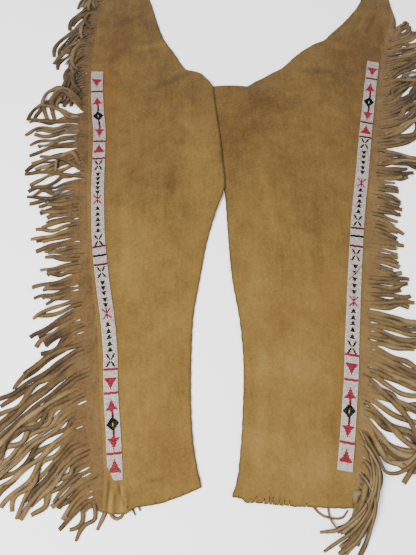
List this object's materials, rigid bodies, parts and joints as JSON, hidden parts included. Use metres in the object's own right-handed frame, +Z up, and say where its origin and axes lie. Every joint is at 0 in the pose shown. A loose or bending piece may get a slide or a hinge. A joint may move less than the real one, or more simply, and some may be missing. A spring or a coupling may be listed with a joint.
{
  "type": "leather chaps",
  "caption": "Pair of fringed buckskin chaps with a beaded strip down each outer seam, laid out flat, with a belt loop at each hip.",
  "frame": {"origin": "middle of the bounding box at the surface that the chaps lie on", "axes": "+Z up out of the fronts, +Y from the hems to the waist, +X towards the wearer's left leg"},
  "size_m": [0.8659, 1.2734, 0.0093],
  "materials": {
    "hide": "smoke-tanned suede, napped and mottled",
    "fringe": "smoke-tanned suede, cut edges",
    "strap": "smoke-tanned suede, folded and sewn",
    "beads": "opaque glass seed beads in white, red, black and yellow"
  },
  "bodies": {
    "root": {"right_leg_back": "hide", "right_leg_front": "hide", "right_beaded_strip": "beads", "right_belt_loop": "strap", "right_fringe": "fringe", "left_leg_back": "hide", "left_leg_front": "hide", "left_beaded_strip": "beads", "left_belt_loop": "strap", "left_fringe": "fringe"}
  },
  "joints": []
}
